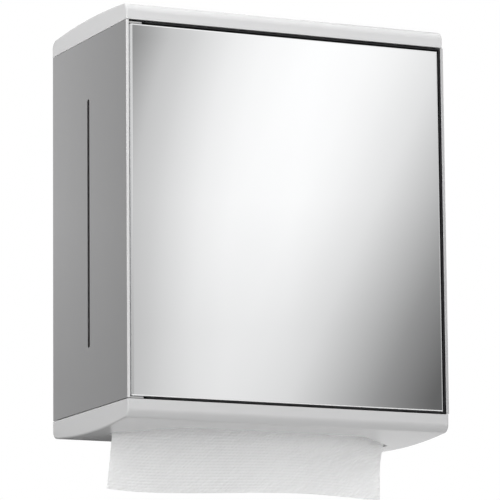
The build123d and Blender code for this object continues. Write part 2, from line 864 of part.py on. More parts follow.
# Towels
save("towel_stack", towel_stack())
save("hanging_towel", hanging_towel())
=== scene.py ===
"""Finishes and stage for a wall dispenser of folded paper towels."""

import math
import random

import bpy
from bpy.props import FloatProperty, FloatVectorProperty, IntProperty, PointerProperty
from mathutils import Matrix, Vector


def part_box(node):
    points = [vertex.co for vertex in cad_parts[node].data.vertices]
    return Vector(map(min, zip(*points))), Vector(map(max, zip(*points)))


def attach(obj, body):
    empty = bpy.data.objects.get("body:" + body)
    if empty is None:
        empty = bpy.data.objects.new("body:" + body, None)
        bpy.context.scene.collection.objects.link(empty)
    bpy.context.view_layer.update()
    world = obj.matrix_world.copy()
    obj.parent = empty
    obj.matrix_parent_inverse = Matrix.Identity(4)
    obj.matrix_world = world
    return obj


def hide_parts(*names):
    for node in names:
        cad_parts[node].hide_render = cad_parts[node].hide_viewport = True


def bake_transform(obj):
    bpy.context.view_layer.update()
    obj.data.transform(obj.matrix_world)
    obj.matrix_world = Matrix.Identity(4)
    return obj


bl_info = {
    "name": "Paper Towel Dispenser",
    "version": (1, 0, 0),
    "blender": (4, 5, 0),
    "location": "3D View > Sidebar > Dispenser",
    "description": "Dresses the dispenser's solids and makes its towels and its stage",
    "category": "Object",
}

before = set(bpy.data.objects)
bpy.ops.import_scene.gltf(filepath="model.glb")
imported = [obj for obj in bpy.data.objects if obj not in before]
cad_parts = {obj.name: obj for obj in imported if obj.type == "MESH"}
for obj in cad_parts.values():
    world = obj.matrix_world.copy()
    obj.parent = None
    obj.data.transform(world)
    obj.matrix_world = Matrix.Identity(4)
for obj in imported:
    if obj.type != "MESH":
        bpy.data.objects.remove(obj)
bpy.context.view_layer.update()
SHEET_LOW, SHEET_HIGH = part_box("hanging_towel")
PACK_LOW, PACK_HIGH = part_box("towel_stack")
CASE_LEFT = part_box("left_side_panel")[0][0]
CASE_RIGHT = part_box("right_side_panel")[1][0]
CASE_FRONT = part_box("door_panel")[0][1]
CASE_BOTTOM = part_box("bottom_cap")[0][2]


class DispenserFinishes(bpy.types.PropertyGroup):
    """Colours and gloss of the dispenser's finishes."""

    door_color: FloatVectorProperty(
        name="Door", description="Tint of the polished door", subtype="COLOR", default=(0.93, 0.935, 0.94)
    )
    door_roughness: FloatProperty(
        name="Door roughness", description="Blur of the door's mirror image", subtype="FACTOR", default=0.035
    )
    panel_color: FloatVectorProperty(
        name="Side panels", description="Tint of the satin aluminium",
        subtype="COLOR", default=(0.8, 0.8, 0.805),
    )
    panel_roughness: FloatProperty(
        name="Panel roughness", description="Blur of the satin aluminium", subtype="FACTOR", default=0.34
    )
    left_edge: FloatProperty(
        name="Left edge", description="Grey of the left panel's cut edge", subtype="FACTOR", default=0.85
    )
    # The right panel's cut edge is a darker grey than the left one: painted shade, as the light falls from
    # the left.
    shaded_right_edge: FloatProperty(
        name="Right edge", description="Grey of the right panel's cut edge", subtype="FACTOR", default=0.6
    )
    edge_depth: FloatProperty(
        name="Edge depth", description="How far back the bare cut edge reaches", unit="LENGTH", default=0.0003
    )
    cap_color: FloatVectorProperty(
        name="Caps", description="Pale grey of the moulded caps",
        subtype="COLOR", default=(0.575, 0.575, 0.578),
    )
    cap_roughness: FloatProperty(
        name="Cap roughness", description="Blur of the moulded caps", subtype="FACTOR", default=0.22
    )
    frame_color: FloatVectorProperty(
        name="Inner frame", description="Black of the frame behind the door",
        subtype="COLOR", default=(0.015, 0.015, 0.016),
    )
    block_color: FloatVectorProperty(
        name="Door blocks", description="Dark grey of the blocks inside the door",
        subtype="COLOR", default=(0.11, 0.11, 0.115),
    )
    pad_color: FloatVectorProperty(
        name="Pads", description="Black of the rubber pads", subtype="COLOR", default=(0.025, 0.025, 0.025)
    )
    zinc_color: FloatVectorProperty(
        name="Inner sheet metal", description="Tint of the zinc coating",
        subtype="COLOR", default=(0.52, 0.53, 0.55),
    )
    liner_color: FloatVectorProperty(
        name="Door liner", description="Paint on the back of the door",
        subtype="COLOR", default=(0.6, 0.6, 0.61),
    )
    hinge_color: FloatVectorProperty(
        name="Hinges", description="Tint of the hinge steel", subtype="COLOR", default=(0.74, 0.74, 0.74)
    )
    screw_color: FloatVectorProperty(
        name="Screws", description="Tint of the plated screws", subtype="COLOR", default=(0.6, 0.61, 0.63)
    )
    lock_color: FloatVectorProperty(
        name="Lock", description="Tint of the lock's chrome", subtype="COLOR", default=(0.78, 0.78, 0.79)
    )
    paper_color: FloatVectorProperty(
        name="Towels", description="White of the paper", subtype="COLOR", default=(0.96, 0.96, 0.96)
    )
    emboss_pitch: FloatProperty(
        name="Emboss pitch", description="Distance between the rows of dimples", unit="LENGTH", default=0.0024
    )
    leaf_emboss: FloatProperty(
        name="Leaf emboss", description="Depth of the dimples on the hanging towel",
        unit="LENGTH", default=0.0004,
    )
    pack_emboss: FloatProperty(
        name="Pack emboss", description="Depth of the dimples on the pressed pack",
        unit="LENGTH", default=0.0001,
    )


class TowelForm(bpy.types.PropertyGroup):
    """Sizes of the hanging towel and of the pack."""

    flat_width: FloatProperty(
        name="Flat width", description="Width of a towel",
        unit="LENGTH", default=SHEET_HIGH[0] - SHEET_LOW[0],
    )
    thickness: FloatProperty(
        name="Thickness", description="Two plies with their emboss", unit="LENGTH", default=0.0005
    )
    bow: FloatProperty(
        name="Bow", description="How far the middle stands in front of the ends", unit="LENGTH", default=0.006
    )
    lean: FloatProperty(
        name="Lean", description="How far back the lower edge hangs", unit="LENGTH", default=0.012
    )
    mouth: FloatProperty(
        name="Mouth", description="Level where the towel leaves the bottom cap",
        unit="LENGTH", default=CASE_BOTTOM,
    )
    drop: FloatProperty(
        name="Drop", description="What hangs below the bottom cap", unit="LENGTH", default=0.0436
    )
    askew: FloatProperty(
        name="Askew", description="How much lower the right end hangs", unit="LENGTH", default=-0.0006
    )
    curl: FloatProperty(
        name="Curl", description="How soon the right end turns back below the cap",
        unit="LENGTH", default=0.008,
    )
    wave: FloatProperty(
        name="Wave", description="Depth of the slack waves along the lower edge",
        unit="LENGTH", default=0.0012,
    )
    edge_wave: FloatProperty(
        name="Edge wave", description="How far the lower edge runs up and down",
        unit="LENGTH", default=0.0019,
    )
    corner_lift: FloatProperty(
        name="Corner lift", description="How far the left corner stands up", unit="LENGTH", default=0.0016
    )
    leaves: IntProperty(name="Leaves", description="Folded towels that show in the pack", default=40)
    leaf_play: FloatProperty(
        name="Leaf play", description="How far single leaves stand out of line", unit="LENGTH", default=0.0006
    )


class StageSetup(bpy.types.PropertyGroup):
    """Camera, light and surroundings."""

    camera_place: FloatVectorProperty(
        name="Camera", description="Place of the camera",
        subtype="TRANSLATION", default=(-1.3783, -3.0668, -0.5787),
    )
    camera_yaw: FloatProperty(
        name="Yaw", description="Turn of the view from straight on",
        subtype="ANGLE", default=math.radians(24.8),
    )
    camera_tilt: FloatProperty(
        name="Tilt", description="Rise of the view", subtype="ANGLE", default=math.radians(9.756)
    )
    camera_roll: FloatProperty(
        name="Roll", description="Turn of the frame", subtype="ANGLE", default=math.radians(-0.531)
    )
    camera_lens: FloatProperty(
        name="Lens", description="Focal length in millimetres, on the sensor below", default=291.4
    )
    camera_sensor: FloatProperty(
        name="Sensor", description="Width of the sensor in millimetres", default=36.0
    )
    camera_reach: FloatProperty(
        name="Reach", description="How far the camera sees", unit="LENGTH", default=100.0
    )
    floor_level: FloatProperty(
        name="Floor", description="Level of the floor", unit="LENGTH", default=-0.9
    )
    floor_size: FloatProperty(
        name="Floor size", description="Width of the floor", unit="LENGTH", default=12.0
    )
    floor_color: FloatVectorProperty(
        name="Floor colour", description="Pale grey of the floor", subtype="COLOR", default=(0.68, 0.68, 0.68)
    )
    floor_glow: FloatProperty(
        name="Floor glow", description="How much paler the floor is seen than lit", default=0.2
    )
    world_light: FloatProperty(
        name="Ambient light", description="Strength of the light from all round", default=0.4
    )
    key_power: FloatProperty(
        name="Key light", description="Power that the lamps take their shares of", unit="POWER", default=6.0
    )
    card_radius: FloatProperty(
        name="Card radius", description="Distance of the graded card that the door mirrors",
        unit="LENGTH", default=1.6,
    )
    card_height: FloatProperty(
        name="Card height", description="Height of the graded card", unit="LENGTH", default=2.4
    )
    card_strength: FloatProperty(
        name="Card light", description="How bright the graded card's white is", default=1.08
    )
    wall_reach: FloatProperty(
        name="Wall reach", description="Half the width of the grey card behind", unit="LENGTH", default=1.5
    )
    wall_gap: FloatProperty(
        name="Wall gap", description="Distance of the grey card behind the casing",
        unit="LENGTH", default=0.01,
    )
    wall_lip: FloatProperty(
        name="Wall lip", description="How far the grey card reaches up past the arch below",
        unit="LENGTH", default=0.012,
    )
    # Shade card: a black card that stands in for the wall's shadow under the casing, as painted shade.
    shade_gap: FloatProperty(
        name="Shade gap", description="Distance of the black card behind the casing",
        unit="LENGTH", default=0.001,
    )
    shade_lip: FloatProperty(
        name="Shade lip", description="How far the black card reaches up to the rear edge",
        unit="LENGTH", default=0.004,
    )
    shade_drop: FloatProperty(
        name="Shade drop", description="Height of the black card below the casing",
        unit="LENGTH", default=0.2,
    )


def find_socket(sockets, key):
    """Finds a socket by its name with underscores, or by its number after the letter i."""
    if key[0] == "i" and key[1:].isdigit():
        return sockets[int(key[1:])]
    return sockets[key.replace("_", " ")]


def add_node(tree, kind, settings=None, **inputs):
    """Adds a node; an input is a plain value or another node's socket."""
    node = tree.nodes.new(kind)
    for key, value in (settings or {}).items():
        setattr(node, key, value)
    for key, value in inputs.items():
        socket = find_socket(node.inputs, key)
        if isinstance(value, bpy.types.NodeSocket):
            tree.links.new(value, socket)
        else:
            socket.default_value = value
    return node


def maths(tree, operation, *values, clamp=False):
    """One sum on plain values or sockets."""
    inputs = {"i%d" % place: value for place, value in enumerate(values)}
    node = add_node(tree, "ShaderNodeMath", {"operation": operation, "use_clamp": clamp}, **inputs)
    return node.outputs[0]


def ramp(tree, factor, stops):
    """Grey ramp through (place, value) stops."""
    node = add_node(tree, "ShaderNodeValToRGB", Fac=factor)
    elements = node.color_ramp.elements
    while len(elements) < len(stops):
        elements.new(1.0)
    for element, (place, value) in zip(elements, stops):
        element.position = place
        element.color = (value, value, value, 1.0)
    return node.outputs["Color"]


def place_socket(tree, stretch=(1.0, 1.0, 1.0), source="Object"):
    """Coordinates of the surface, stretched along each axis."""
    coords = add_node(tree, "ShaderNodeTexCoord")
    mapping = add_node(tree, "ShaderNodeMapping", Vector=coords.outputs[source], Scale=stretch)
    return mapping.outputs["Vector"]


def noise(tree, vector, scale, detail=2.0):
    """Soft random value between 0 and 1."""
    node = add_node(tree, "ShaderNodeTexNoise", Vector=vector, Scale=scale, Detail=detail)
    return node.outputs["Fac"]


def between(tree, factor, low, high):
    """Carries a 0 to 1 value into a range."""
    node = add_node(tree, "ShaderNodeMapRange", Value=factor, To_Min=low, To_Max=high)
    return node.outputs["Result"]


def mixed(tree, factor, first, second):
    """Goes from the first colour to the second; each is a plain value or a socket."""
    node = add_node(tree, "ShaderNodeMix", {"data_type": "RGBA"}, Factor=factor, i6=first, i7=second)
    return node.outputs[2]


def tinted(tree, factor, color, spread):
    """Colour that varies a little darker and lighter round its middle."""
    dark = tuple(channel * (1.0 - spread) for channel in color) + (1.0,)
    light = tuple(min(1.0, channel * (1.0 + spread)) for channel in color) + (1.0,)
    return mixed(tree, factor, dark, light)


def bump(tree, height, strength, distance):
    """Surface direction over a height field whose full depth is the distance in metres."""
    node = add_node(tree, "ShaderNodeBump", Height=height, Strength=strength, Distance=distance)
    return node.outputs["Normal"]


def finish_start(name, **values):
    """New material with plain values on its shader."""
    material = bpy.data.materials.new(name)
    material.use_nodes = True
    shader = material.node_tree.nodes["Principled BSDF"]
    for key, value in values.items():
        find_socket(shader.inputs, key).default_value = value
    return material, material.node_tree, shader


def connect(tree, shader, **sockets):
    """Leads sockets into the shader's inputs."""
    for key, socket in sockets.items():
        tree.links.new(socket, find_socket(shader.inputs, key))


def polished_metal(name, color, roughness):
    """Mirror polish with the faint haze of wiping cloths."""
    material, tree, shader = finish_start(name, Metallic=1.0)
    haze = noise(tree, place_socket(tree), scale=14.0, detail=4.0)
    fine = noise(tree, place_socket(tree, stretch=(1.0, 1.0, 0.15)), scale=900.0)
    wiped = maths(tree, "MULTIPLY", haze, fine)
    connect(
        tree, shader,
        Base_Color=tinted(tree, haze, color, spread=0.012),
        Roughness=between(tree, wiped, low=roughness * 0.6, high=roughness * 1.5),
    )
    return material


def satin_metal(name, color, roughness, front, edge):
    """Anodised aluminium with a very fine upright grain; in front of a level its cut edge is a bare grey,
    which the caller darkens on the right panel as painted shade.
    """
    material, tree, shader = finish_start(name, Metallic=1.0)
    grain = noise(tree, place_socket(tree, stretch=(1.0, 1.0, 0.02)), scale=2600.0, detail=3.0)
    cloud = noise(tree, place_socket(tree), scale=9.0, detail=3.0)
    both = maths(tree, "MULTIPLY_ADD", grain, 0.5, maths(tree, "MULTIPLY", cloud, 0.5))
    parts = add_node(tree, "ShaderNodeSeparateXYZ", Vector=place_socket(tree))
    cut = maths(tree, "LESS_THAN", parts.outputs["Y"], front)
    coat = tinted(tree, both, color, spread=0.04)
    bare = tinted(tree, grain, (edge, edge, edge), spread=0.03)
    connect(
        tree, shader,
        Base_Color=mixed(tree, cut, coat, bare),
        Metallic=between(tree, cut, low=1.0, high=0.6),
        Roughness=between(tree, both, low=roughness - 0.06, high=roughness + 0.06),
        Normal=bump(tree, grain, strength=0.06, distance=0.00004),
    )
    return material


def moulded_plastic(name, color, roughness, scale=2400.0, strength=0.12):
    """Injection-moulded plastic with a fine spark-eroded surface."""
    material, tree, shader = finish_start(name, Specular_IOR_Level=0.4)
    spark = noise(tree, place_socket(tree), scale)
    cloud = noise(tree, place_socket(tree), scale=12.0, detail=3.0)
    connect(
        tree, shader,
        Base_Color=tinted(tree, cloud, color, spread=0.015),
        Roughness=between(tree, spark, low=roughness - 0.05, high=roughness + 0.08),
        Normal=bump(tree, spark, strength, distance=0.00006),
    )
    return material


def zinc_coat(name, color):
    """Galvanised sheet with its crystal spangle."""
    material, tree, shader = finish_start(name, Metallic=1.0)
    spangle = add_node(tree, "ShaderNodeTexVoronoi", Vector=place_socket(tree), Scale=150.0)
    shade = add_node(tree, "ShaderNodeSeparateColor", Color=spangle.outputs["Color"]).outputs["Red"]
    fine = noise(tree, place_socket(tree), scale=700.0, detail=3.0)
    connect(
        tree, shader,
        Base_Color=tinted(tree, shade, color, spread=0.09),
        Roughness=between(tree, shade, low=0.32, high=0.48),
        Normal=bump(tree, fine, strength=0.05, distance=0.00005),
    )
    return material


def brushed_metal(name, color, roughness):
    """Plated steel with short scratches along its length."""
    material, tree, shader = finish_start(name, Metallic=1.0)
    scratch = noise(tree, place_socket(tree, stretch=(1.0, 0.08, 1.0)), scale=1800.0, detail=3.0)
    cloud = noise(tree, place_socket(tree), scale=60.0)
    connect(
        tree, shader,
        Base_Color=tinted(tree, cloud, color, spread=0.08),
        Roughness=between(tree, scratch, low=roughness - 0.08, high=roughness + 0.1),
        Normal=bump(tree, scratch, strength=0.08, distance=0.00003),
    )
    return material


def powder_paint(name, color):
    """Satin paint with a slight orange-peel surface."""
    material, tree, shader = finish_start(name, Specular_IOR_Level=0.45)
    peel = noise(tree, place_socket(tree), scale=420.0)
    cloud = noise(tree, place_socket(tree), scale=7.0)
    connect(
        tree, shader,
        Base_Color=tinted(tree, cloud, color, spread=0.02),
        Roughness=between(tree, peel, low=0.34, high=0.48),
        Normal=bump(tree, peel, strength=0.12, distance=0.0001),
    )
    return material


def dimples(tree, along, across, pitch, rising_share=0.6):
    """Level rows and stronger rising rows of dimples, a pitch apart, on two coordinates in metres."""
    turn = 2.0 * math.pi / pitch
    level = maths(tree, "COSINE", maths(tree, "MULTIPLY", across, turn))
    slant = maths(tree, "MULTIPLY", maths(tree, "SUBTRACT", along, across), turn * math.sqrt(0.5))
    rising = maths(tree, "MULTIPLY", maths(tree, "COSINE", slant), rising_share)
    return maths(tree, "MULTIPLY_ADD", level, 1.0 - rising_share, rising)


def embossed_paper(name, color, pitch, depth, flat=None, fibre_share=0.25):
    """Soft two-ply paper: fibre mottle and embossed dimples, laid out on the flat sheet if there is one."""
    material, tree, shader = finish_start(
        name, Specular_IOR_Level=0.15, Roughness=0.92,
        Subsurface_Weight=0.7, Subsurface_Radius=(1.0, 1.0, 1.0), Subsurface_Scale=0.0015,
    )
    if flat:
        vector = place_socket(tree, stretch=(flat[0], flat[1], 1.0), source="UV")
    else:
        vector = place_socket(tree)
    parts = add_node(tree, "ShaderNodeSeparateXYZ", Vector=vector)
    emboss = dimples(tree, parts.outputs["X"], parts.outputs["Y"], pitch)
    fibre = noise(tree, vector, scale=1500.0, detail=4.0)
    cloud = noise(tree, vector, scale=25.0)
    height = maths(tree, "MULTIPLY_ADD", fibre, fibre_share, emboss)
    connect(
        tree, shader,
        Base_Color=tinted(tree, cloud, color, spread=0.02),
        Normal=bump(tree, height, strength=0.48, distance=depth),
    )
    return material


def paint_node(node_name, material):
    """Puts one finish on a solid of the frame."""
    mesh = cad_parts[node_name].data
    mesh.materials.clear()
    mesh.materials.append(material)


def paint_all(node_names, material):
    """Puts one finish on several solids."""
    for node_name in node_names:
        paint_node(node_name, material)


def only(obj):
    """Deselects everything but one object and makes it active."""
    bpy.ops.object.select_all(action="DESELECT")
    obj.select_set(True)
    bpy.context.view_layer.objects.active = obj


class DISPENSER_OT_dress_casing(bpy.types.Operator):
    """Satin side panels and pale moulded caps"""

    bl_idname = "dispenser.dress_casing"
    bl_label = "Dress Casing"

    def execute(self, context):
        looks = context.scene.dispenser_finishes
        front = CASE_FRONT + looks.edge_depth
        # Lit and shaded copies of the satin finish: the right panel's darker cut edge is painted shade.
        for node, edge in (("left_side_panel", looks.left_edge), ("right_side_panel", looks.shaded_right_edge)):
            sheet = satin_metal("satin_" + node, looks.panel_color, looks.panel_roughness, front, edge)
            paint_node(node, sheet)
        plastic = moulded_plastic("pale_cap_plastic", looks.cap_color, looks.cap_roughness, strength=0.05)
        paint_all(["top_cap", "bottom_cap"], plastic)
        return {"FINISHED"}


class DISPENSER_OT_dress_door(bpy.types.Operator):
    """Polished door, its painted liner and the blocks inside it"""

    bl_idname = "dispenser.dress_door"
    bl_label = "Dress Door"

    def execute(self, context):
        looks = context.scene.dispenser_finishes
        paint_node("door_panel", polished_metal("polished_door", looks.door_color, looks.door_roughness))
        paint_node("door_liner", powder_paint("liner_paint", looks.liner_color))
        paint_all(
            ["upper_hinge_block", "lower_hinge_block", "door_corner_blocks", "latch_block"],
            moulded_plastic("block_plastic", looks.block_color, roughness=0.5),
        )
        return {"FINISHED"}


class DISPENSER_OT_dress_inside(bpy.types.Operator):
    """Black frame, zinc-coated sheet metal and rubber pads inside the casing"""

    bl_idname = "dispenser.dress_inside"
    bl_label = "Dress Inside"

    def execute(self, context):
        looks = context.scene.dispenser_finishes
        paint_node("front_frame", moulded_plastic("black_frame_plastic", looks.frame_color, roughness=0.5))
        paint_all(
            ["back_plate", "towel_tray", "left_towel_guide", "right_towel_guide", "door_keeper", "lock_cam"],
            zinc_coat("zinc_sheet", looks.zinc_color),
        )
        rubber = moulded_plastic("pad_rubber", looks.pad_color, roughness=0.75, scale=900.0, strength=0.3)
        paint_node("door_bumpers", rubber)
        return {"FINISHED"}


class DISPENSER_OT_dress_fixings(bpy.types.Operator):
    """Hinge steel, screws and the key lock"""

    bl_idname = "dispenser.dress_fixings"
    bl_label = "Dress Fixings"

    def execute(self, context):
        looks = context.scene.dispenser_finishes
        paint_all(
            ["upper_hinge_bracket", "lower_hinge_bracket", "upper_hinge_pin", "lower_hinge_pin"],
            brushed_metal("hinge_steel", looks.hinge_color, roughness=0.34),
        )
        screws = [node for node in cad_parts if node.endswith(("_screw", "_screws"))]
        paint_all(screws + ["lock_nut"], brushed_metal("screw_zinc", looks.screw_color, roughness=0.3))
        chrome = polished_metal("lock_chrome", looks.lock_color, roughness=0.08)
        paint_all(["lock_body", "lock_barrel"], chrome)
        return {"FINISHED"}


class DISPENSER_OT_make_towel_leaf(bpy.types.Operator):
    """Towel that hangs out of the exit: a bowed sheet that leans back below the cap"""

    bl_idname = "dispenser.make_towel_leaf"
    bl_label = "Make Hanging Towel"

    columns = 160
    rows = 72
    crease_angle = math.radians(50.0)

    # How the paper hangs, in shares of the form's sizes, and in waves along its width
    edge_waves = 1.0
    slack_waves = 1.25
    wave_start_share = 0.1
    bow_loss_share = 0.25
    lean_growth = 1.2
    turn_share = 0.84
    turn_ahead_share = 0.1
    turn_sharpness = 1.6
    corner_width_share = 0.14
    corner_tuck_share = 0.1

    def execute(self, context):
        form = context.scene.dispenser_towels
        looks = context.scene.dispenser_finishes
        bpy.ops.object.select_all(action="DESELECT")
        bpy.ops.mesh.primitive_grid_add(x_subdivisions=self.columns, y_subdivisions=self.rows, size=1.0)
        leaf = context.object
        leaf.name = leaf.data.name = "towel_leaf"
        flat = (form.flat_width, self.hang(leaf.data, form))
        leaf.modifiers.new("paper", "SOLIDIFY").thickness = form.thickness
        leaf.modifiers["paper"].offset = 0.0
        only(leaf)
        bpy.ops.object.modifier_apply(modifier="paper")
        bpy.ops.object.shade_smooth_by_angle(angle=self.crease_angle)
        paper = embossed_paper("leaf_paper", looks.paper_color, looks.emboss_pitch, looks.leaf_emboss, flat)
        leaf.data.materials.append(paper)
        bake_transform(leaf)
        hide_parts("hanging_towel")
        return {"FINISHED"}

    def hang(self, mesh, form):
        """Lays the grid into its hanging shape and gives the sheet's flat length."""
        inside = SHEET_HIGH[2] - form.mouth
        outside = math.hypot(form.drop, form.lean)
        places = {}
        for vertex in mesh.vertices:
            across = round((vertex.co.x + 0.5) * self.columns)
            down = round((0.5 - vertex.co.y) * self.rows)
            places[across, down] = vertex
        for across in range(self.columns + 1):
            side = across / self.columns
            slack = form.edge_wave * self.ripple(self.edge_waves, side)
            step = (inside + outside + form.askew * side + slack) / self.rows
            z, last = SHEET_HIGH[2], None
            for down in range(self.rows + 1):
                below = down * step - inside
                share = max(0.0, below / outside)
                y = self.set_back(form, side, below, share)
                if last is not None:
                    z -= math.sqrt(max(step**2 - (y - last) ** 2, 0.0))
                last = y
                corner = max(0.0, 1.0 - side / self.corner_width_share) ** 2 * share**2
                x = (side - 0.5) * form.flat_width + form.curl * self.corner_tuck_share * corner
                places[across, down].co = (x, y, z + form.corner_lift * corner)
        mesh.update()
        return inside + outside + form.askew / 2.0

    def ripple(self, waves, side):
        """Height of a wave of one unit at a place along the width."""
        return math.sin(2.0 * math.pi * (waves * side + self.wave_start_share))

    def set_back(self, form, side, below, share):
        """Place from front to back: the left end leans back evenly, the right one turns below the cap."""
        ends = (SHEET_LOW[1] + SHEET_HIGH[1] + form.bow - form.lean) / 2.0
        bow = form.bow * (1.0 - (2.0 * side - 1.0) ** 2) * (1.0 - self.bow_loss_share * share)
        left = form.lean * share**self.lean_growth
        turned = 1.0 / (1.0 + math.exp(self.turn_sharpness * (0.5 - below / form.curl)))
        right = form.lean * (self.turn_share * turned - self.turn_ahead_share)
        rightness = side * side * (3.0 - 2.0 * side)
        wave = form.wave * share * self.ripple(self.slack_waves, side)
        return ends - bow + left * (1.0 - rightness) + right * rightness + wave


class DISPENSER_OT_make_towel_pack(bpy.types.Operator):
    """Pack of folded towels on the tray, with its folds to the front"""

    bl_idname = "dispenser.make_towel_pack"
    bl_label = "Make Towel Pack"

    seed = 7
    leaf_height_share = 0.985
    fold_share = 0.46
    fold_steps = 4
    crease_angle = math.radians(40.0)

    def execute(self, context):
        form = context.scene.dispenser_towels
        looks = context.scene.dispenser_finishes
        size = [high - low - 2.0 * form.leaf_play for low, high in zip(PACK_LOW, PACK_HIGH)]
        middle = [(high + low) / 2.0 for low, high in zip(PACK_LOW, PACK_HIGH)]
        pitch = (PACK_HIGH[2] - PACK_LOW[2]) / form.leaves
        first = self.folded_towel(size[0], size[1], pitch * self.leaf_height_share)
        towels = [first]
        for _ in range(form.leaves - 1):
            towel = first.copy()
            towel.data = first.data.copy()
            context.collection.objects.link(towel)
            towels.append(towel)
        chance = random.Random(self.seed)
        for level, towel in enumerate(towels):
            shift = [chance.uniform(-form.leaf_play, form.leaf_play) for _ in range(2)]
            place = (middle[0] + shift[0], middle[1] + shift[1], PACK_LOW[2] + pitch * (level + 0.5))
            towel.data.transform(Matrix.Translation(place))
        bpy.ops.object.select_all(action="DESELECT")
        for towel in towels:
            towel.select_set(True)
        context.view_layer.objects.active = first
        bpy.ops.object.join()
        pack = context.object
        pack.name = pack.data.name = "towel_pack"
        only(pack)
        bpy.ops.object.shade_smooth_by_angle(angle=self.crease_angle)
        paper = embossed_paper("pack_paper", looks.paper_color, looks.emboss_pitch, looks.pack_emboss)
        pack.data.materials.append(paper)
        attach(pack, "housing")
        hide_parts("towel_stack")
        return {"FINISHED"}

    def folded_towel(self, width, depth, height):
        """One folded towel at the origin: a thin slab with round folds along its long edges."""
        bpy.ops.object.select_all(action="DESELECT")
        bpy.ops.mesh.primitive_cube_add(size=1.0)
        towel = bpy.context.object
        towel.data.transform(Matrix.Diagonal((width, depth, height, 1.0)))
        bpy.ops.object.mode_set(mode="EDIT")
        bpy.ops.mesh.select_mode(type="EDGE")
        bpy.ops.mesh.select_all(action="DESELECT")
        bpy.ops.object.mode_set(mode="OBJECT")
        for edge in towel.data.edges:
            ends = [towel.data.vertices[index].co for index in edge.vertices]
            edge.select = abs(ends[0].x - ends[1].x) > width / 2.0
        bpy.ops.object.mode_set(mode="EDIT")
        bpy.ops.mesh.bevel(offset=height * self.fold_share, segments=self.fold_steps, affect="EDGES")
        bpy.ops.object.mode_set(mode="OBJECT")
        return towel


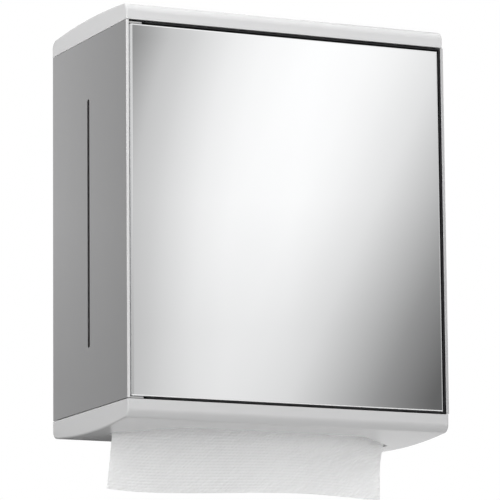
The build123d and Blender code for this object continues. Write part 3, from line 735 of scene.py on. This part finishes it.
class DISPENSER_OT_set_stage(bpy.types.Operator):
    """Camera, pale floor, soft light, the cards that the door and the caps mirror, and a black card of
    painted shade
    """

    bl_idname = "dispenser.set_stage"
    bl_label = "Set Stage"

    # Lamps: name, place, size and share of the key power; all of them face the origin
    lamp_table = (
        ("front_lamp", (-0.4, -1.5, -0.18), 0.9, 1.04),
        ("top_lamp", (0.1, -0.7, 0.9), 0.6, 0.9),
        ("left_lamp", (-1.1, -0.4, 0.75), 0.7, 2.0),
        ("right_lamp", (1.2, -0.6, 0.6), 0.7, 0.6),
        ("rear_lamp", (0.0, 1.4, 0.2), 0.9, 3.2),
    )

    # Front card: the field that the door mirrors, as turns round the card and heights
    card_sides = 128
    card_back_share = 0.1
    field_start = math.radians(18.51)
    field_repeat = math.radians(24.0)
    field_width = math.radians(13.41)
    field_top = 0.512
    field_height = 0.447

    # Front card: where its tones fall, as shares of that field; the right and return stops lie at half shares
    near_share = 0.25
    near_rise_share = -0.15
    rise_power = 3.0
    slant_share = 0.55
    left_stops = (
        (0.11, 0.28), (0.16, 0.38), (0.23, 0.55), (0.3, 0.63),
        (0.35, 0.71), (0.45, 0.85), (0.55, 0.93), (0.75, 1.0),
    )
    right_stops = (
        (0.3, 1.0), (0.4, 0.95), (0.45, 0.89), (0.525, 0.76), (0.605, 0.52), (0.67, 0.32), (0.76, 0.135),
    )
    low_stops = ((0.45, 1.0), (0.8, 0.9))
    return_stops = ((0.575, 0.0), (0.89, 1.0))

    # Wall card, a painted reflection of a lit wall: greys at distances from the middle, lighter near the
    # casing, and below it the casing's painted shadow and a painted lit patch
    far_stops = ((0.15, 0.355), (0.3, 0.26), (0.6, 0.18))
    near_stops = ((0.15, 0.1), (0.3, 0.0))
    high_stops = ((0.38, 0.0), (0.52, 1.0))
    under_stops = (
        (0.2, 0.26), (0.3, 0.32), (0.42, 0.03), (0.5, 0.2), (0.66, 0.95), (0.72, 0.95), (0.8, 0.26),
    )
    ramp_middle = 0.5
    under_reach = 0.3
    contact_shadow_depth = 0.04
    shadow_middle = -0.05
    shadow_reach = 0.1

    def execute(self, context):
        setup = context.scene.dispenser_stage
        self.camera(context, setup)
        self.floor(setup)
        self.front_card(setup)
        self.wall_card(setup)
        self.wall_shade(setup)
        self.world(context.scene, setup)
        self.lamps(context, setup)
        context.scene.view_settings.view_transform = "Standard"
        return {"FINISHED"}

    def camera(self, context, setup):
        """Camera turned by its yaw, then its tilt, then its roll."""
        ahead = Vector((
            math.sin(setup.camera_yaw) * math.cos(setup.camera_tilt),
            math.cos(setup.camera_yaw) * math.cos(setup.camera_tilt),
            math.sin(setup.camera_tilt),
        ))
        level = Vector((math.cos(setup.camera_yaw), -math.sin(setup.camera_yaw), 0.0))
        upright = level.cross(ahead)
        turn = setup.camera_roll
        right = math.cos(turn) * level + math.sin(turn) * upright
        up = -math.sin(turn) * level + math.cos(turn) * upright
        data = bpy.data.cameras.new("view_camera")
        data.lens = setup.camera_lens
        data.sensor_width = setup.camera_sensor
        data.clip_end = setup.camera_reach
        camera = bpy.data.objects.new("view_camera", data)
        context.collection.objects.link(camera)
        axes = Matrix((right, up, -ahead)).transposed().to_4x4()
        camera.matrix_world = Matrix.Translation(setup.camera_place) @ axes
        context.scene.camera = camera

    def floor(self, setup):
        """Pale floor, clear from below, so that it hides nothing from a low view."""
        bpy.ops.object.select_all(action="DESELECT")
        bpy.ops.mesh.primitive_plane_add(size=setup.floor_size, location=(0.0, 0.0, setup.floor_level))
        floor = bpy.context.object
        floor.name = "floor"
        material, tree, shader = finish_start(
            "pale_floor", Specular_IOR_Level=0.2, Roughness=0.8, Emission_Color=(1.0, 1.0, 1.0, 1.0)
        )
        cloud = noise(tree, place_socket(tree), scale=3.0)
        connect(
            tree, shader,
            Base_Color=tinted(tree, cloud, setup.floor_color, spread=0.01),
            Emission_Strength=between(tree, self.seen(tree), low=0.0, high=setup.floor_glow),
        )
        behind = add_node(tree, "ShaderNodeNewGeometry").outputs["Backfacing"]
        clear = add_node(tree, "ShaderNodeBsdfTransparent").outputs[0]
        either = add_node(tree, "ShaderNodeMixShader", i0=behind, i1=shader.outputs[0], i2=clear)
        tree.links.new(either.outputs[0], tree.nodes["Material Output"].inputs["Surface"])
        floor.data.materials.append(material)

    def seen(self, tree):
        """One for what the camera, mirrors and glass see, nought for the light that is shed."""
        path = add_node(tree, "ShaderNodeLightPath").outputs
        seen = maths(tree, "MAXIMUM", path["Is Camera Ray"], path["Is Glossy Ray"])
        return maths(tree, "MAXIMUM", seen, path["Is Transmission Ray"])

    def front_card(self, setup):
        """Curved card round the front, seen only in mirror images."""
        bpy.ops.object.select_all(action="DESELECT")
        bpy.ops.mesh.primitive_cylinder_add(
            vertices=self.card_sides, radius=setup.card_radius, depth=setup.card_height,
            end_fill_type="NOTHING", location=(0.0, CASE_FRONT, 0.0),
        )
        card = bpy.context.object
        card.name = "front_card"
        self.cut_faces(card, lambda centre: centre.y > -setup.card_radius * self.card_back_share)
        self.mirror_only(card, self.front_card_finish(setup.card_strength))

    def wall_card(self, setup):
        """Grey card beside and below the casing, in the plane of the wall, seen only in mirror images: a
        painted reflection of the wall with its light and shadow.
        """
        lip = CASE_BOTTOM + setup.wall_lip
        columns = (-setup.wall_reach, CASE_LEFT, CASE_RIGHT, setup.wall_reach)
        rows = (-setup.wall_reach, lip, setup.wall_reach)
        card = self.card_grid("wall_card", columns, rows, setup.wall_gap)
        self.cut_faces(card, lambda centre: abs(centre.x) < CASE_RIGHT and centre.z > CASE_BOTTOM)
        self.mirror_only(card, self.wall_card_finish(lip))

    def wall_shade(self, setup):
        """Black card close behind the casing's lower left edge, put there as painted shade for the wall's
        shadow; it only dims the light below it.
        """
        top = CASE_BOTTOM + setup.shade_lip
        card = self.card_grid("wall_shade", (CASE_LEFT, 0.0), (top - setup.shade_drop, top), setup.shade_gap)
        # Painted shade: the black card is no real part, it darkens the underside where the wall's shadow
        # falls.
        material, tree, shader = finish_start("painted_wall_shadow", Specular_IOR_Level=0.0)
        shadow_mottle = noise(tree, place_socket(tree), scale=300.0)
        connect(tree, shader, Base_Color=tinted(tree, shadow_mottle, (0.01, 0.01, 0.01), spread=0.2))
        card.data.materials.append(material)
        self.hide_from(card, ("camera", "glossy", "transmission", "volume_scatter", "shadow"))

    def card_grid(self, name, columns, rows, y):
        """Upright card through the given places from left to right and from below to above."""
        last = (len(columns) - 1, len(rows) - 1)
        bpy.ops.object.select_all(action="DESELECT")
        bpy.ops.mesh.primitive_grid_add(x_subdivisions=last[0], y_subdivisions=last[1], size=1.0)
        card = bpy.context.object
        card.name = name
        for vertex in card.data.vertices:
            column = round((vertex.co.x + 0.5) * last[0])
            row = round((vertex.co.y + 0.5) * last[1])
            vertex.co = (columns[column], y, rows[row])
        return card

    def cut_faces(self, card, unwanted):
        """Deletes the faces whose centres the test picks."""
        bpy.ops.object.mode_set(mode="EDIT")
        bpy.ops.mesh.select_mode(type="FACE")
        bpy.ops.mesh.select_all(action="DESELECT")
        bpy.ops.object.mode_set(mode="OBJECT")
        for face in card.data.polygons:
            face.select = unwanted(face.center)
        bpy.ops.object.mode_set(mode="EDIT")
        bpy.ops.mesh.delete(type="FACE")
        bpy.ops.object.mode_set(mode="OBJECT")

    def hide_from(self, card, rays):
        """Takes a card out of what some kinds of rays meet."""
        for kind in rays:
            setattr(card, "visible_" + kind, False)

    def mirror_only(self, card, material):
        """Gives a card its finish and leaves it to mirror images alone."""
        card.data.materials.append(material)
        self.hide_from(card, ("camera", "diffuse", "transmission", "volume_scatter", "shadow"))

    def glow(self, name):
        """Material that only shines, with its tree and the place on the card."""
        material = bpy.data.materials.new(name)
        material.use_nodes = True
        tree = material.node_tree
        tree.nodes.remove(tree.nodes["Principled BSDF"])
        coords = add_node(tree, "ShaderNodeTexCoord")
        parts = add_node(tree, "ShaderNodeSeparateXYZ", Vector=coords.outputs["Object"])
        return material, tree, parts.outputs

    def shine(self, tree, value, strength):
        """Ends a shining material in its grey."""
        emission = add_node(tree, "ShaderNodeEmission", Color=value, Strength=strength)
        tree.links.new(emission.outputs[0], tree.nodes["Material Output"].inputs["Surface"])

    def wall_card_finish(self, lip):
        """Painted reflection of the wall: grey that fades to the sides, the casing's soft shadow painted
        under its left half, and a painted lit patch beyond its right end.
        """
        material, tree, place = self.glow("wall_card")
        aside = maths(tree, "ABSOLUTE", place["X"])
        far = ramp(tree, aside, self.far_stops)
        near = ramp(tree, aside, self.near_stops)
        high = ramp(tree, maths(tree, "ADD", place["Z"], self.ramp_middle), self.high_stops)
        grey = maths(tree, "MULTIPLY_ADD", near, high, far)
        under = ramp(tree, maths(tree, "ADD", place["X"], self.ramp_middle), self.under_stops)
        # Painted contact shadow: below the casing's left half the grey falls to black at its lower edge.
        depth = maths(tree, "SUBTRACT", lip, place["Z"])
        out_of_contact_shadow = maths(tree, "DIVIDE", depth, self.contact_shadow_depth, clamp=True)
        from_shadow = maths(tree, "ABSOLUTE", maths(tree, "SUBTRACT", place["X"], self.shadow_middle))
        beside = maths(tree, "GREATER_THAN", from_shadow, self.shadow_reach)
        under = maths(tree, "MULTIPLY", under, maths(tree, "MAXIMUM", out_of_contact_shadow, beside))
        below = maths(tree, "GREATER_THAN", depth, 0.0)
        inside = maths(tree, "MULTIPLY", below, maths(tree, "LESS_THAN", aside, self.under_reach))
        self.shine(tree, mixed(tree, inside, grey, under), strength=1.0)
        return material

    def front_card_finish(self, strength):
        """Soft light and dark fields that repeat round the card, each with a smooth way back to its start."""
        material, tree, place = self.glow("front_card")
        angle = maths(tree, "ARCTAN2", place["X"], maths(tree, "MULTIPLY", place["Y"], -1.0))
        turns = maths(tree, "DIVIDE", maths(tree, "SUBTRACT", angle, self.field_start), self.field_repeat)
        repeat_share = self.field_repeat / self.field_width
        across = maths(tree, "MULTIPLY", maths(tree, "FRACT", turns), repeat_share)
        fall = maths(tree, "SUBTRACT", self.field_top, place["Z"])
        down = maths(tree, "DIVIDE", fall, self.field_height, clamp=True)
        rise = maths(tree, "POWER", maths(tree, "SUBTRACT", 1.0, down), self.rise_power)
        near = maths(tree, "MULTIPLY_ADD", rise, self.near_rise_share, self.near_share)
        start = ramp(tree, near, self.left_stops)
        left = ramp(tree, maths(tree, "ADD", across, near), self.left_stops)
        slant = maths(tree, "MULTIPLY_ADD", down, self.slant_share, across)
        right = ramp(tree, maths(tree, "DIVIDE", slant, 2.0), self.right_stops)
        field = maths(tree, "MULTIPLY", left, right)
        back = ramp(tree, maths(tree, "DIVIDE", across, 2.0), self.return_stops)
        joined = maths(tree, "MULTIPLY_ADD", maths(tree, "SUBTRACT", start, field), back, field)
        low = ramp(tree, down, self.low_stops)
        self.shine(tree, maths(tree, "MULTIPLY", joined, low), strength)
        return material

    def world(self, scene, setup):
        """White for what the camera, mirrors and glass see, softer for the light it sheds."""
        world = bpy.data.worlds.new("studio_white")
        scene.world = world
        world.use_nodes = True
        tree = world.node_tree
        ground = tree.nodes["Background"]
        ground.inputs["Color"].default_value = (1.0, 1.0, 1.0, 1.0)
        strength = between(tree, self.seen(tree), low=setup.world_light, high=1.0)
        tree.links.new(strength, ground.inputs["Strength"])

    def lamps(self, context, setup):
        """Square soft lamps that face the origin and show in no mirror image."""
        for name, place, size, power_share in self.lamp_table:
            data = bpy.data.lights.new(name, "AREA")
            data.size = size
            data.energy = setup.key_power * power_share
            lamp = bpy.data.objects.new(name, data)
            context.collection.objects.link(lamp)
            lamp.location = place
            lamp.rotation_euler = (-Vector(place)).to_track_quat("-Z", "Y").to_euler()
            lamp.visible_glossy = False


class DISPENSER_PT_sidebar(bpy.types.Panel):
    """Lists the dispenser's settings and steps"""

    bl_idname = "DISPENSER_PT_sidebar"
    bl_label = "Towel Dispenser"
    bl_space_type = "VIEW_3D"
    bl_region_type = "UI"
    bl_category = "Dispenser"

    def draw(self, context):
        for operator in OPERATORS:
            self.layout.operator(operator.bl_idname)
        for group_name in GROUPS:
            group = getattr(context.scene, group_name)
            box = self.layout.box()
            for key in group.bl_rna.properties.keys():
                if key not in ("rna_type", "name"):
                    box.prop(group, key)


OPERATORS = (
    DISPENSER_OT_dress_casing,
    DISPENSER_OT_dress_door,
    DISPENSER_OT_dress_inside,
    DISPENSER_OT_dress_fixings,
    DISPENSER_OT_make_towel_leaf,
    DISPENSER_OT_make_towel_pack,
    DISPENSER_OT_set_stage,
)
GROUPS = {
    "dispenser_finishes": DispenserFinishes,
    "dispenser_towels": TowelForm,
    "dispenser_stage": StageSetup,
}


def register():
    for group_name, group in GROUPS.items():
        bpy.utils.register_class(group)
        setattr(bpy.types.Scene, group_name, PointerProperty(type=group))
    for operator in OPERATORS:
        bpy.utils.register_class(operator)
    bpy.utils.register_class(DISPENSER_PT_sidebar)


def unregister():
    bpy.utils.unregister_class(DISPENSER_PT_sidebar)
    for operator in reversed(OPERATORS):
        bpy.utils.unregister_class(operator)
    for group_name, group in GROUPS.items():
        delattr(bpy.types.Scene, group_name)
        bpy.utils.unregister_class(group)


def main():
    register()
    bpy.ops.dispenser.dress_casing()
    bpy.ops.dispenser.dress_door()
    bpy.ops.dispenser.dress_inside()
    bpy.ops.dispenser.dress_fixings()
    bpy.ops.dispenser.make_towel_leaf()
    bpy.ops.dispenser.make_towel_pack()
    bpy.ops.dispenser.set_stage()


if __name__ == "__main__":
    main()
